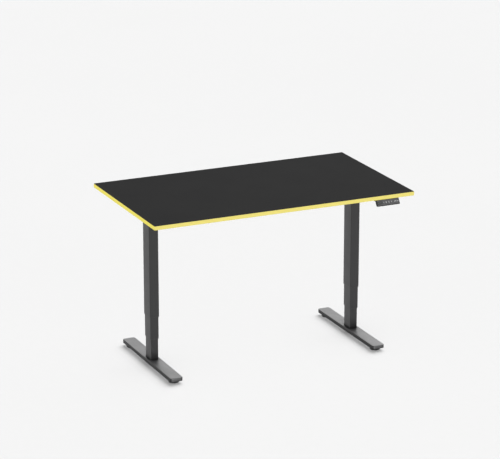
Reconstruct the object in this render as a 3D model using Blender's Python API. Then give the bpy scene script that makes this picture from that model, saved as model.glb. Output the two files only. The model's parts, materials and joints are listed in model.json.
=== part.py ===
"""A height adjustable desk with two telescopic columns, in metres, +Z up.

The origin is on the floor under the middle of the desktop, +X runs along the desktop to the right
and +Y runs away from the user. The columns are shown part extended, with the top at TOP_HEIGHT.
"""

import math

import bmesh
import bpy
from mathutils import Matrix, Vector

GAP = 0.0003  # clearance between pieces that touch

# Desktop
TOP_LENGTH = 1.400
TOP_DEPTH = 0.800
TOP_THICKNESS = 0.020
TOP_HEIGHT = 0.854
TOP_CORNER = 0.003
BAND = 0.001
UNDERSIDE = TOP_HEIGHT - TOP_THICKNESS

# Columns: each stage is a rounded steel tube, its long side along Y
COLUMN_X = 0.5575
WALL = 0.0015
OUTER_SECTION = (0.050, 0.080)
MIDDLE_SECTION = (0.045, 0.075)
INNER_SECTION = (0.040, 0.070)
OUTER_BOTTOM = 0.260
OUTER_TOP = UNDERSIDE - 0.049
MIDDLE_BOTTOM = 0.144
MIDDLE_LENGTH = 0.500
INNER_LENGTH = 0.465
OUTER_CORNER = 0.0040
MIDDLE_CORNER = 0.0035
INNER_CORNER = 0.0030
CORNER_STEPS = 4
ROUND_STEPS = 16

# Slide bushes between the stages
GUIDE_HEIGHT = 0.030
LIP = 0.0012
LIP_INSET = 0.0005
CAP_PLUG = 0.012
CAP_FLANGE = 0.003

# Feet
FOOT_WIDTH = 0.067
FOOT_LENGTH = 0.635
FOOT_BOTTOM = 0.0145
FOOT_TOP = 0.0330
FOOT_CORNER = 0.012
FOOT_SHEET = 0.003
FOOT_EDGE = 0.0025
BASE_PLATE = 0.008
BOLT_PLACES = [(x, y) for x in (-0.0105, 0.0105) for y in (-0.0255, 0.0255)]
BOLT_CLEARANCE = 0.0042
BOLT_CORE = 0.0034
GLIDE_Y = 0.275
GLIDE_RADIUS = 0.026
GLIDE_STEPS = 24
STUD_RADIUS = 0.004
BOSS_RADIUS = 0.009
BOSS_RECESS = 0.0006

# Telescopic spindle drive
SPINDLE_RADIUS = 0.0055
SPINDLE_LENGTH = 0.448
HOLLOW_RADIUS = 0.010
HOLLOW_BORE = 0.0067
HOLLOW_LENGTH = 0.430
COLLAR_RADIUS = 0.014
COLLAR_HEIGHT = 0.004
UPPER_NUT_HEIGHT = 0.018
LOWER_NUT_HEIGHT = 0.022

# Gearbox and motor
HEAD_PLATE = (0.0524, 0.150, 0.004)
HEAD_TAB = (0.003, 0.026, 0.022)
GEARBOX = (0.048, 0.076, 0.041)
GEARBOX_BOTTOM = OUTER_TOP + HEAD_PLATE[2] + GAP
WHEEL_RADIUS = 0.015
WHEEL_CHAMBER = 0.017
WHEEL_HEIGHT = 0.014
WORM_RADIUS = 0.005
WORM_BORE = 0.0065
WORM_LENGTH = 0.043
WORM_OFFSET = 0.0205
WORM_Z = UNDERSIDE - 0.0238
MOTOR_RADIUS = 0.0205
MOTOR_LENGTH = 0.092

# Frame under the desktop
BRACKET_WIDTH = 0.058
BRACKET_LENGTH = 0.560
BRACKET_SHEET = 0.0025
BRACKET_DEEP = 0.046
BRACKET_SHALLOW = 0.014
BRACKET_DEEP_HALF = 0.085
RAIL_SECTION = (0.020, 0.030)
RAIL_Y = 0.066
RAIL_BOTTOM = UNDERSIDE - 0.038
BRACKET_SCREWS = [(x, y) for x in (-0.016, 0.016) for y in (-0.255, -0.150, 0.150, 0.255)]
COVER_SHEET = 0.0012
COVER_HALF = 0.0455
COVER_LIP = 0.010
COVER_LENGTH = 0.125
COVER_BOTTOM = UNDERSIDE - 0.0505
COVER_END_HEIGHT = 0.022
COVER_SCREW_X = (0.015, 0.105)
COVER_SCREW_Y = COVER_HALF + 0.0053

# Control box
BOX_SIZE = (0.240, 0.100, 0.035)
BOX_CENTRE = (0.0, 0.190)
BOX_WALL = 0.002
BOX_PLATE = 0.002
PLATE_EAR = 0.012
PLATE_SCREWS = [(x, y) for x in (-0.126, 0.126) for y in (-0.035, 0.035)]
SOCKET = (0.016, 0.011)
SOCKET_X = (-0.070, 0.0, 0.070)
SOCKET_RISE = 0.015
INLET = (0.030, 0.022)
INLET_RISE = 0.018
BOARD = (0.220, 0.066, 0.0016)
BOARD_Y = -0.008
BOARD_RISE = 0.0055

# Handset: a thin panel under the front edge, leaning back, with a mounting tongue behind it
HANDSET_X = (0.4845, 0.6115)
HANDSET_PROFILE = (
    (-0.3985, UNDERSIDE - GAP),
    (-0.4165, UNDERSIDE - 0.0266),
    (-0.4160, UNDERSIDE - 0.0284),
    (-0.4140, UNDERSIDE - 0.0294),
    (-0.4075, UNDERSIDE - 0.0290),
    (-0.3925, UNDERSIDE - 0.0070),
    (-0.3500, UNDERSIDE - 0.0105),
    (-0.3450, UNDERSIDE - 0.0080),
    (-0.3450, UNDERSIDE - GAP),
)
HANDSET_CORNER = 0.004
HANDSET_SCREWS = [(x, -0.362) for x in (0.5030, 0.5930)]
FACE_POCKET = (0.1210, 0.0278, 0.0045)
FASCIA_THICKNESS = 0.0015
BUTTON = (0.0105, 0.0130, 0.0030)
BUTTON_PROUD = 0.0005
BUTTON_FIRST = -0.0246
BUTTON_PITCH = 0.0146
UP_BUTTON = 0.0400
WINDOW = (0.0280, 0.0160)
WINDOW_CENTRE = -0.0455

# Leads under the desktop
LEAD_RADIUS = 0.0025
HANDSET_LEAD_RADIUS = 0.0020
LEAD_Z = UNDERSIDE - 0.0042

FULL_TURN = 2 * math.pi


# Shapes


def rounded_rectangle(width, depth, radius, z, steps=CORNER_STEPS):
    """The points of a rounded rectangle at height z, anticlockwise."""
    points = []
    for quarter, (along_x, along_y) in enumerate(((1, 1), (-1, 1), (-1, -1), (1, -1))):
        centre_x = along_x * (width / 2 - radius)
        centre_y = along_y * (depth / 2 - radius)
        for step in range(steps + 1):
            angle = (quarter + step / steps) * math.pi / 2
            x = centre_x + radius * math.cos(angle)
            y = centre_y + radius * math.sin(angle)
            points.append(Vector((x, y, z)))
    return points


def circle(radius, z, steps=ROUND_STEPS):
    """The points of a circle at height z."""
    angles = [FULL_TURN * step / steps for step in range(steps)]
    return [Vector((radius * math.cos(a), radius * math.sin(a), z)) for a in angles]


def loft(loops, closed=False):
    """A mesh through loops of equal count: capped at its two ends, or closed into a ring."""
    mesh = bmesh.new()
    rings = [[mesh.verts.new(point) for point in loop] for loop in loops]
    pairs = list(zip(rings, rings[1:]))
    if closed:
        pairs.append((rings[-1], rings[0]))
    else:
        mesh.faces.new(reversed(rings[0]))
        mesh.faces.new(rings[-1])
    for lower, upper in pairs:
        for index in range(len(lower)):
            mesh.faces.new((lower[index - 1], lower[index], upper[index], upper[index - 1]))
    if mesh.calc_volume(signed=True) < 0:
        bmesh.ops.reverse_faces(mesh, faces=mesh.faces)
    return mesh


def block(size, centre=(0, 0, 0)):
    """A box of this size about centre."""
    mesh = bmesh.new()
    bmesh.ops.create_cube(mesh, size=1, matrix=Matrix.Translation(centre) @ Matrix.Diagonal((*size, 1)))
    return mesh


def turned(profile, steps=ROUND_STEPS):
    """A solid of revolution about Z, from (radius, z) pairs."""
    return loft([circle(radius, z, steps) for radius, z in profile])


def turned_ring(profile, steps=ROUND_STEPS):
    """A ring about Z whose cross-section is the closed outline of (radius, z) pairs."""
    return loft([circle(radius, z, steps) for radius, z in profile], closed=True)


def tube(section, corner, wall, low, high):
    """A rounded rectangular tube, open at both ends."""
    width, depth = section
    inner = (width - 2 * wall, depth - 2 * wall, corner - wall)
    return loft(
        [
            rounded_rectangle(width, depth, corner, low),
            rounded_rectangle(width, depth, corner, high),
            rounded_rectangle(*inner, high),
            rounded_rectangle(*inner, low),
        ],
        closed=True,
    )


def sheet_profile(outline, low, high):
    """An outline of (y, z) pairs drawn out along X from low to high."""
    return loft([[Vector((x, y, z)) for y, z in outline] for x in (low, high)])


# Objects


def finish(name, colour, roughness, metallic=0.0):
    """A material of one colour."""
    material = bpy.data.materials.get(name) or bpy.data.materials.new(name)
    material.use_nodes = True
    shader = material.node_tree.nodes["Principled BSDF"]
    shader.inputs["Base Color"].default_value = (*colour, 1)
    shader.inputs["Roughness"].default_value = roughness
    shader.inputs["Metallic"].default_value = metallic
    return material


def top_laminate():
    return finish("top_laminate", (0.035, 0.035, 0.036), 0.55)


def yellow_edging():
    return finish("yellow_edging", (0.78, 0.62, 0.09), 0.45)


def graphite_coat():
    return finish("graphite_coat", (0.085, 0.085, 0.088), 0.5)


def bare_steel():
    return finish("bare_steel", (0.55, 0.55, 0.56), 0.35, metallic=1.0)


def cast_metal():
    return finish("cast_metal", (0.42, 0.42, 0.43), 0.5, metallic=1.0)


def slide_plastic():
    return finish("slide_plastic", (0.02, 0.02, 0.02), 0.4)


def bronze():
    return finish("bronze", (0.55, 0.34, 0.13), 0.35, metallic=1.0)


def glide_plastic():
    return finish("glide_plastic", (0.03, 0.03, 0.03), 0.6)


def housing_plastic():
    return finish("housing_plastic", (0.045, 0.045, 0.047), 0.5)


def button_plastic():
    return finish("button_plastic", (0.10, 0.10, 0.105), 0.45)


def window_plastic():
    return finish("window_plastic", (0.01, 0.01, 0.012), 0.1)


def cable_jacket():
    return finish("cable_jacket", (0.02, 0.02, 0.021), 0.5)


def circuit_board_finish():
    return finish("circuit_board", (0.03, 0.16, 0.07), 0.5)


def add(name, mesh, material, parent, matrix=None, smooth_angle=30):
    """The mesh as a named object under parent, shaded smooth up to this angle."""
    data = bpy.data.meshes.new(name)
    mesh.to_mesh(data)
    mesh.free()
    data.shade_smooth()
    data.set_sharp_from_angle(angle=math.radians(smooth_angle))
    thing = bpy.data.objects.new(name, data)
    bpy.context.scene.collection.objects.link(thing)
    thing.parent = parent
    if matrix is not None:
        thing.matrix_local = matrix
    if material is not None:
        data.materials.append(material)
    return thing


def combine(thing, mesh, operation, label, matrix=None):
    """Joins the mesh to thing, or cuts it from thing, by a Boolean with a hidden helper."""
    helper = add(f"{thing.name}.{label}", mesh, None, thing.parent, matrix)
    helper.hide_render = True
    helper.display_type = "WIRE"
    modifier = thing.modifiers.new(label, "BOOLEAN")
    modifier.operation = operation
    modifier.object = helper


def join(thing, mesh, label, matrix=None):
    combine(thing, mesh, "UNION", label, matrix)


def cut(thing, mesh, label, matrix=None):
    combine(thing, mesh, "DIFFERENCE", label, matrix)


def round_edges(thing, width, segments=1, angle=40):
    """A bevel on the edges sharper than angle."""
    modifier = thing.modifiers.new("edges", "BEVEL")
    modifier.width = width
    modifier.segments = segments
    modifier.limit_method = "ANGLE"
    modifier.angle_limit = math.radians(angle)


def holes(places, radius, low, high, steps=8):
    """Round cutters along Z, one at each (x, y)."""
    mesh = bmesh.new()
    for x, y in places:
        bmesh.ops.create_cone(
            mesh,
            cap_ends=True,
            segments=steps,
            radius1=radius,
            radius2=radius,
            depth=high - low,
            matrix=Matrix.Translation((x, y, (low + high) / 2)),
        )
    return mesh


def empty(name, location, parent=None):
    """An axis that pieces are parented to."""
    axis = bpy.data.objects.new(name, None)
    bpy.context.scene.collection.objects.link(axis)
    axis.location = location
    axis.parent = parent
    return axis


# Feet


def foot_beam(side, base):
    """A folded steel tray, open below, with a threaded boss for each glide."""
    width, length = FOOT_WIDTH, FOOT_LENGTH
    inner = (width - 2 * FOOT_SHEET, length - 2 * FOOT_SHEET, FOOT_CORNER - FOOT_SHEET)
    ceiling = FOOT_TOP - FOOT_SHEET
    loops = []
    for step in range(4):
        angle = step / 3 * math.pi / 2
        inset = FOOT_EDGE * (1 - math.sin(angle))
        z = FOOT_TOP - FOOT_EDGE * (1 - math.cos(angle))
        loops.append(rounded_rectangle(width - 2 * inset, length - 2 * inset, FOOT_CORNER - inset, z))
    loops.append(rounded_rectangle(width, length, FOOT_CORNER, FOOT_BOTTOM))
    loops.append(rounded_rectangle(*inner, FOOT_BOTTOM))
    loops.append(rounded_rectangle(*inner, ceiling))
    beam = add(f"{side}_foot_beam", loft(loops), graphite_coat(), base)
    bore = STUD_RADIUS + GAP
    boss = (
        (BOSS_RADIUS, ceiling + 0.001),
        (BOSS_RADIUS, FOOT_BOTTOM + BOSS_RECESS),
        (bore, FOOT_BOTTOM + BOSS_RECESS),
        (bore, ceiling - 0.001),
    )
    for label, y in (("front_boss", -GLIDE_Y), ("rear_boss", GLIDE_Y)):
        join(beam, turned(boss), label, Matrix.Translation((0, y, 0)))
    cut(beam, holes(BOLT_PLACES, BOLT_CLEARANCE, ceiling - 0.002, FOOT_TOP + 0.002), "bolt_holes")


def glides(side, base):
    """The two levelling glides: a pad on a threaded stud."""
    shoulder = FOOT_BOTTOM + BOSS_RECESS - GAP
    profile = (
        (GLIDE_RADIUS - 0.001, 0.0),
        (GLIDE_RADIUS, 0.001),
        (GLIDE_RADIUS, 0.006),
        (GLIDE_RADIUS - 0.003, 0.0095),
        (2 * STUD_RADIUS, 0.010),
        (2 * STUD_RADIUS, shoulder),
        (STUD_RADIUS, shoulder),
        (STUD_RADIUS, FOOT_TOP - FOOT_SHEET - 0.0015),
    )
    for end, y in (("front", -GLIDE_Y), ("rear", GLIDE_Y)):
        stem = empty(f"{side}_{end}_glide_axis", (0, y, 0), base)
        add(f"{side}_{end}_glide", turned(profile, GLIDE_STEPS), glide_plastic(), stem)


# Column stages


def inner_tube(side, base):
    """The fixed stage, standing on the foot, with its threaded base plate welded in."""
    bottom = FOOT_TOP + GAP
    pipe = tube(INNER_SECTION, INNER_CORNER, WALL, bottom, FOOT_TOP + INNER_LENGTH)
    stage = add(f"{side}_inner_tube", pipe, graphite_coat(), base)
    size = [width - WALL for width in INNER_SECTION]
    plate = [rounded_rectangle(*size, INNER_CORNER - WALL / 2, z) for z in (bottom, bottom + BASE_PLATE)]
    join(stage, loft(plate), "base_plate")
    threads = holes(BOLT_PLACES, BOLT_CORE, bottom - 0.002, bottom + BASE_PLATE + 0.002)
    cut(stage, threads, "bolt_holes")


def middle_tube(side, middle):
    """The stage that slides over the inner tube and inside the outer one."""
    pipe = tube(MIDDLE_SECTION, MIDDLE_CORNER, WALL, MIDDLE_BOTTOM, MIDDLE_BOTTOM + MIDDLE_LENGTH)
    add(f"{side}_middle_tube", pipe, graphite_coat(), middle)


def outer_tube(side, carriage):
    """The top stage with its head plate, whose upright tabs bolt inside the bracket."""
    width, length, thickness = HEAD_PLATE
    pipe = tube(OUTER_SECTION, OUTER_CORNER, WALL, OUTER_BOTTOM, OUTER_TOP + 0.001)
    stage = add(f"{side}_outer_tube", pipe, graphite_coat(), carriage)
    tab_x = (width - HEAD_TAB[0]) / 2
    tab_y = (length - HEAD_TAB[1]) / 2
    tab_z = OUTER_TOP + 0.001 + HEAD_TAB[2] / 2
    for index, (along_x, along_y) in enumerate(((1, 1), (-1, 1), (-1, -1), (1, -1))):
        centre = (along_x * (tab_x - 0.0005), along_y * (tab_y - 0.0005), tab_z)
        join(stage, block(HEAD_TAB, centre), f"tab_{index}")
    join(stage, block(HEAD_PLATE, (0, 0, OUTER_TOP + thickness / 2)), "head_plate")
    cut(stage, holes([(0, 0)], 0.009, OUTER_TOP - 0.002, OUTER_TOP + 0.006, ROUND_STEPS), "spindle_hole")


def guide(name, stage_inside, cavity, outside, corner, bottom, parent):
    """A thin slide bush between two stages, with a lip under the larger one's end."""
    bore = [size + 2 * GAP for size in stage_inside]
    skin = [size - 2 * GAP for size in cavity]
    lip = [size - 2 * LIP_INSET for size in outside]
    shoulder = bottom - GAP
    inner_corner = corner - LIP_INSET
    loops = [
        rounded_rectangle(*bore, inner_corner, shoulder - LIP),
        rounded_rectangle(*lip, corner, shoulder - LIP),
        rounded_rectangle(*lip, corner, shoulder),
        rounded_rectangle(*skin, inner_corner, shoulder),
        rounded_rectangle(*skin, inner_corner, bottom + GUIDE_HEIGHT),
        rounded_rectangle(*bore, inner_corner, bottom + GUIDE_HEIGHT),
    ]
    add(name, loft(loops, closed=True), slide_plastic(), parent)


def cavity_of(section):
    return [size - 2 * WALL for size in section]


def stage_cap(name, section, slides_in, top, hole, parent):
    """A guide cap plugged into a tube's top, with a flange that slides in the next stage."""
    plug = [size - 2 * GAP for size in cavity_of(section)]
    flange = [size - 2 * GAP for size in cavity_of(slides_in)]
    seat = top + GAP
    loops = [
        rounded_rectangle(*plug, 0.003, top - CAP_PLUG),
        rounded_rectangle(*plug, 0.003, seat),
        rounded_rectangle(*flange, 0.004, seat),
        rounded_rectangle(*flange, 0.004, seat + CAP_FLANGE),
    ]
    cap = add(name, loft(loops), slide_plastic(), parent)
    cut(cap, holes([(0, 0)], hole, top - CAP_PLUG - 0.002, seat + CAP_FLANGE + 0.002, ROUND_STEPS), "bore")
    return seat + CAP_FLANGE


# Spindle drive


def lower_nut(side, base, seat):
    """The nut on top of the fixed stage, which lifts the middle stage."""
    bore = HOLLOW_RADIUS + GAP
    flange_top = seat + GAP + 0.004
    profile = (
        (bore, flange_top - LOWER_NUT_HEIGHT),
        (0.0137, flange_top - LOWER_NUT_HEIGHT),
        (0.0137, seat + GAP),
        (0.0175, seat + GAP),
        (0.0175, flange_top),
        (bore, flange_top),
    )
    add(f"{side}_lower_nut", turned_ring(profile), bronze(), base)


def hollow_spindle(side, middle, seat):
    """The outer screw, hung by its collar in the middle stage, and the nut on top of it."""
    axis = empty(f"{side}_hollow_spindle_axis", (0, 0, 0), middle)
    collar_top = seat + GAP + COLLAR_HEIGHT
    profile = (
        (HOLLOW_BORE, collar_top - HOLLOW_LENGTH),
        (HOLLOW_RADIUS, collar_top - HOLLOW_LENGTH),
        (HOLLOW_RADIUS, seat + GAP),
        (COLLAR_RADIUS, seat + GAP),
        (COLLAR_RADIUS, collar_top),
        (HOLLOW_BORE, collar_top),
    )
    add(f"{side}_hollow_spindle", turned_ring(profile), bare_steel(), axis)
    nut_bottom = collar_top + GAP
    nut_top = nut_bottom + UPPER_NUT_HEIGHT
    bore = SPINDLE_RADIUS + GAP
    nut = (
        (bore, nut_bottom),
        (COLLAR_RADIUS - 0.001, nut_bottom),
        (COLLAR_RADIUS - 0.001, nut_top - 0.001),
        (COLLAR_RADIUS - 0.002, nut_top),
        (bore, nut_top),
    )
    add(f"{side}_upper_nut", turned_ring(nut), bronze(), axis)


def spindle(side, carriage):
    """The solid screw, turned by the worm wheel fixed on its top end."""
    axis = empty(f"{side}_spindle_axis", (0, 0, 0), carriage)
    top = WORM_Z + WHEEL_HEIGHT / 2 + 0.004
    screw = (
        (SPINDLE_RADIUS - 0.001, top - SPINDLE_LENGTH),
        (SPINDLE_RADIUS, top - SPINDLE_LENGTH + 0.001),
        (SPINDLE_RADIUS, top - 0.001),
        (SPINDLE_RADIUS - 0.001, top),
    )
    add(f"{side}_spindle", turned(screw), bare_steel(), axis)
    bore = SPINDLE_RADIUS + GAP
    low, high = WORM_Z - WHEEL_HEIGHT / 2, WORM_Z + WHEEL_HEIGHT / 2
    wheel = (
        (bore, low - 0.002),
        (bore + 0.003, low - 0.002),
        (bore + 0.003, low),
        (WHEEL_RADIUS, low),
        (WHEEL_RADIUS - 0.0008, WORM_Z),
        (WHEEL_RADIUS, high),
        (bore, high),
    )
    add(f"{side}_worm_wheel", turned_ring(wheel), slide_plastic(), axis)


def gearbox(side, inward, carriage):
    """The cast housing over the worm wheel, open below, and bored for the worm from the motor's side."""
    width, length, height = GEARBOX
    size = (width, length, 0.006)
    loops = [rounded_rectangle(*size, z) for z in (GEARBOX_BOTTOM, GEARBOX_BOTTOM + height)]
    housing = add(f"{side}_gearbox", loft(loops), cast_metal(), carriage)
    chamber_top = WORM_Z + WHEEL_HEIGHT / 2 + 0.006
    chamber = holes([(0, 0)], WHEEL_CHAMBER, GEARBOX_BOTTOM - 0.002, chamber_top, ROUND_STEPS)
    cut(housing, chamber, "wheel_chamber")
    reach = WORM_LENGTH + 0.001
    bore = turned(((WORM_BORE, 0), (WORM_BORE, reach + 0.002)))
    start = Matrix.Translation((inward * (width / 2 + 0.002), WORM_OFFSET, WORM_Z))
    cut(housing, bore, "worm_bore", start @ Matrix.Rotation(-inward * math.pi / 2, 4, "Y"))


def motor(side, inward, carriage):
    """The motor lying along X, with its worm reaching into the gearbox."""
    face = inward * (GEARBOX[0] / 2 + GAP)
    axis = empty(f"{side}_motor_axis", (face, WORM_OFFSET, WORM_Z), carriage)
    along = Matrix.Rotation(inward * math.pi / 2, 4, "Y")
    can = (
        (0.012, 0.0),
        (MOTOR_RADIUS, 0.0),
        (MOTOR_RADIUS, 0.006),
        (MOTOR_RADIUS - 0.001, 0.0065),
        (MOTOR_RADIUS - 0.001, MOTOR_LENGTH - 0.012),
        (MOTOR_RADIUS - 0.0025, MOTOR_LENGTH - 0.0115),
        (MOTOR_RADIUS - 0.0025, MOTOR_LENGTH - 0.001),
        (MOTOR_RADIUS - 0.0035, MOTOR_LENGTH),
    )
    add(f"{side}_motor", turned(can), graphite_coat(), axis, along)
    worm = (
        (0.0035, -GAP),
        (0.0035, -0.006),
        (WORM_RADIUS, -0.007),
        (WORM_RADIUS, -WORM_LENGTH + 0.006),
        (0.0035, -WORM_LENGTH + 0.005),
        (0.0035, -WORM_LENGTH),
    )
    add(f"{side}_worm", turned(worm), bare_steel(), axis, along)


# Frame under the desktop


def side_bracket(side, inward, carriage):
    """A folded channel under the desktop's end, deepest over the column, notched for the motor."""
    top = UNDERSIDE - GAP
    half = BRACKET_LENGTH / 2
    deep = BRACKET_DEEP_HALF
    outline = (
        (-half, top),
        (-half, top - BRACKET_SHALLOW),
        (-deep, top - BRACKET_DEEP),
        (deep, top - BRACKET_DEEP),
        (half, top - BRACKET_SHALLOW),
        (half, top),
    )
    mesh = sheet_profile(outline, -BRACKET_WIDTH / 2, BRACKET_WIDTH / 2)
    bracket = add(f"{side}_side_bracket", mesh, graphite_coat(), carriage, smooth_angle=20)
    channel_width = BRACKET_WIDTH - 2 * BRACKET_SHEET
    channel_height = 0.060
    channel = block((channel_width, BRACKET_LENGTH + 0.02, channel_height))
    low = top - BRACKET_SHEET - channel_height / 2
    cut(bracket, channel, "channel", Matrix.Translation((0, 0, low)))
    notch = block((0.012, 2 * MOTOR_RADIUS + 0.004, channel_height))
    place = (inward * (BRACKET_WIDTH / 2 - BRACKET_SHEET / 2), WORM_OFFSET, low)
    cut(bracket, notch, "motor_notch", Matrix.Translation(place))
    cut(bracket, holes(BRACKET_SCREWS, 0.0028, top - 0.006, top + 0.002), "screw_holes")


def motor_cover(side, inward, carriage):
    """A sheet trough over the motor, with a lip turned out along each side that screws to the desktop."""
    top = UNDERSIDE - GAP
    inside = COVER_HALF - COVER_SHEET
    edge = COVER_HALF + COVER_LIP
    right = (
        (COVER_HALF, COVER_BOTTOM),
        (COVER_HALF, top - COVER_SHEET),
        (edge, top - COVER_SHEET),
        (edge, top),
        (inside, top),
        (inside, COVER_BOTTOM + COVER_SHEET),
    )
    left = [(-y, z) for y, z in reversed(right)]
    near = BRACKET_WIDTH / 2 + GAP
    ends = sorted((inward * near, inward * (near + COVER_LENGTH)))
    mesh = sheet_profile((*right, *left), *ends)
    cover = add(f"{side}_motor_cover", mesh, graphite_coat(), carriage)
    end_width = 2 * COVER_HALF - COVER_SHEET
    end_z = COVER_BOTTOM + (COVER_END_HEIGHT + COVER_SHEET) / 2
    centre = (inward * (near + COVER_LENGTH - 0.002), 0, end_z)
    join(cover, block((COVER_SHEET, end_width, COVER_END_HEIGHT), centre), "end_wall")
    screws = [(inward * (near + x), y) for x in COVER_SCREW_X for y in (-COVER_SCREW_Y, COVER_SCREW_Y)]
    cut(cover, holes(screws, 0.0018, top - 0.004, top + 0.002), "screw_holes")


def rails(carriage):
    """The two cross rails that join the side brackets."""
    half = COLUMN_X - BRACKET_WIDTH / 2 - GAP
    upright = Matrix.Rotation(math.pi / 2, 4, "Y")
    for name, y in (("front_rail", -RAIL_Y), ("rear_rail", RAIL_Y)):
        pipe = tube((RAIL_SECTION[1], RAIL_SECTION[0]), 0.003, WALL, -half, half)
        place = Matrix.Translation((0, y, RAIL_BOTTOM + RAIL_SECTION[1] / 2))
        add(name, pipe, graphite_coat(), carriage, place @ upright)


def leg(side, sign, carriage):
    """One column with its foot, its drive and its bracket, from the floor up."""
    inward = -sign
    place = (sign * COLUMN_X, 0, 0)
    base = empty(f"{side}_base_axis", place)
    middle = empty(f"{side}_middle_axis", place)
    head = empty(f"{side}_head_axis", place, carriage)
    foot_beam(side, base)
    glides(side, base)
    inner_tube(side, base)
    seat = stage_cap(
        f"{side}_inner_cap", INNER_SECTION, MIDDLE_SECTION, FOOT_TOP + INNER_LENGTH, 0.0140, base
    )
    lower_nut(side, base, seat)
    middle_tube(side, middle)
    guide(
        f"{side}_middle_guide",
        INNER_SECTION,
        cavity_of(MIDDLE_SECTION),
        MIDDLE_SECTION,
        MIDDLE_CORNER - LIP_INSET,
        MIDDLE_BOTTOM,
        middle,
    )
    middle_top = MIDDLE_BOTTOM + MIDDLE_LENGTH
    seat = stage_cap(
        f"{side}_middle_cap", MIDDLE_SECTION, OUTER_SECTION, middle_top, HOLLOW_RADIUS + GAP, middle
    )
    hollow_spindle(side, middle, seat)
    outer_tube(side, head)
    guide(
        f"{side}_outer_guide",
        MIDDLE_SECTION,
        cavity_of(OUTER_SECTION),
        OUTER_SECTION,
        OUTER_CORNER - LIP_INSET,
        OUTER_BOTTOM,
        head,
    )
    spindle(side, head)
    gearbox(side, inward, head)
    motor(side, inward, head)
    side_bracket(side, inward, head)
    motor_cover(side, inward, head)


# Desktop


def desktop(carriage):
    """The board and the yellow edging all round it."""
    inset = 2 * (BAND + GAP)
    board_size = (TOP_LENGTH - inset, TOP_DEPTH - inset, TOP_CORNER - BAND - GAP)
    board = loft([rounded_rectangle(*board_size, z) for z in (UNDERSIDE, TOP_HEIGHT)])
    add("desktop_board", board, top_laminate(), carriage)
    band = tube((TOP_LENGTH, TOP_DEPTH), TOP_CORNER, BAND, UNDERSIDE, TOP_HEIGHT)
    add("edge_band", band, yellow_edging(), carriage)


# Control box


def control_box(carriage):
    """The controller's tray, its mounting plate, its circuit board and the mains inlet in its back."""
    width, depth, height = BOX_SIZE
    top = UNDERSIDE - GAP - BOX_PLATE - GAP
    bottom = top - height
    inner = (width - 2 * BOX_WALL, depth - 2 * BOX_WALL, 0.003)
    loops = [
        rounded_rectangle(width - 0.004, depth - 0.004, 0.004, bottom),
        rounded_rectangle(width, depth, 0.005, bottom + 0.002),
        rounded_rectangle(width, depth, 0.005, top),
        rounded_rectangle(*inner, top),
        rounded_rectangle(*inner, bottom + BOX_WALL),
    ]
    axis = empty("control_box_axis", (*BOX_CENTRE, 0), carriage)
    tray = add("control_box", loft(loops), housing_plastic(), axis)
    socket_z = bottom + SOCKET_RISE
    for index, x in enumerate(SOCKET_X):
        opening = block((SOCKET[0], 0.010, SOCKET[1]), (x, -depth / 2, socket_z))
        cut(tray, opening, f"socket_{index}")
    inlet_x = -width / 2 + 0.040
    inlet_z = bottom + INLET_RISE
    opening = block((INLET[0], 0.010, INLET[1]), (inlet_x, depth / 2, inlet_z))
    cut(tray, opening, "inlet_opening")
    mains_inlet((inlet_x, depth / 2, inlet_z), axis)
    control_board(bottom, axis)
    low = top + GAP
    size = (width + 2 * PLATE_EAR, depth, 0.005)
    mesh = loft([rounded_rectangle(*size, z) for z in (low, low + BOX_PLATE)])
    plate = add("control_box_plate", mesh, graphite_coat(), axis)
    cut(plate, holes(PLATE_SCREWS, 0.0024, low - 0.002, low + BOX_PLATE + 0.002), "screw_holes")


def control_board(bottom, parent):
    """The circuit board in the tray, with its connectors, transformer, heat sink and capacitor."""
    width, depth, thickness = BOARD
    low = bottom + BOARD_RISE
    top = low + thickness
    slab = block(BOARD, (0, BOARD_Y, low + thickness / 2))
    board = add("control_board", slab, circuit_board_finish(), parent)
    front = BOARD_Y - depth / 2
    sink = 0.0005
    tall = bottom + SOCKET_RISE + SOCKET[1] / 2 - top + sink
    parts = []
    for index, x in enumerate(SOCKET_X):
        parts.append((f"connector_{index}", (0.014, 0.011, tall), (x, front + 0.007)))
    parts.append(("transformer", (0.036, 0.032, 0.021), (0.062, BOARD_Y + 0.012)))
    parts.append(("heat_sink", (0.070, 0.006, 0.020), (-0.010, BOARD_Y)))
    for label, size, (x, y) in parts:
        join(board, block(size, (x, y, top - sink + size[2] / 2)), label)
    capacitor = turned(((0.009, top - sink), (0.009, top + 0.019), (0.008, top + 0.020)))
    join(board, capacitor, "capacitor", Matrix.Translation((0.020, BOARD_Y + 0.020, 0)))


def mains_inlet(centre, parent):
    """An appliance inlet: a flanged cup in the box's back wall."""
    outer = (INLET[0] - 2 * GAP, INLET[1] - 2 * GAP, 0.003)
    flange = (INLET[0] + 0.006, INLET[1] + 0.004, 0.003)
    cup = (INLET[0] - 0.005, INLET[1] - 0.006, 0.003)
    loops = [
        rounded_rectangle(*outer, -0.018),
        rounded_rectangle(*outer, GAP),
        rounded_rectangle(*flange, GAP),
        rounded_rectangle(*flange, 0.0018),
        rounded_rectangle(*cup, 0.0018),
        rounded_rectangle(*cup, -0.014),
    ]
    place = Matrix.Translation(centre) @ Matrix.Rotation(-math.pi / 2, 4, "X")
    add("mains_inlet", loft(loops), slide_plastic(), parent, place)


# Handset


def face_frame():
    """The handset face's frame: X along the desk, Y up the face, Z out of it."""
    top, bottom = (Vector((0, *point)) for point in HANDSET_PROFILE[:2])
    across = Vector((1, 0, 0))
    up = (top - bottom).normalized()
    out = across.cross(up)
    centre = (top + bottom) / 2
    centre.x = sum(HANDSET_X) / 2
    frame = Matrix((across, up, out)).transposed().to_4x4()
    frame.translation = centre
    return frame


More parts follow.
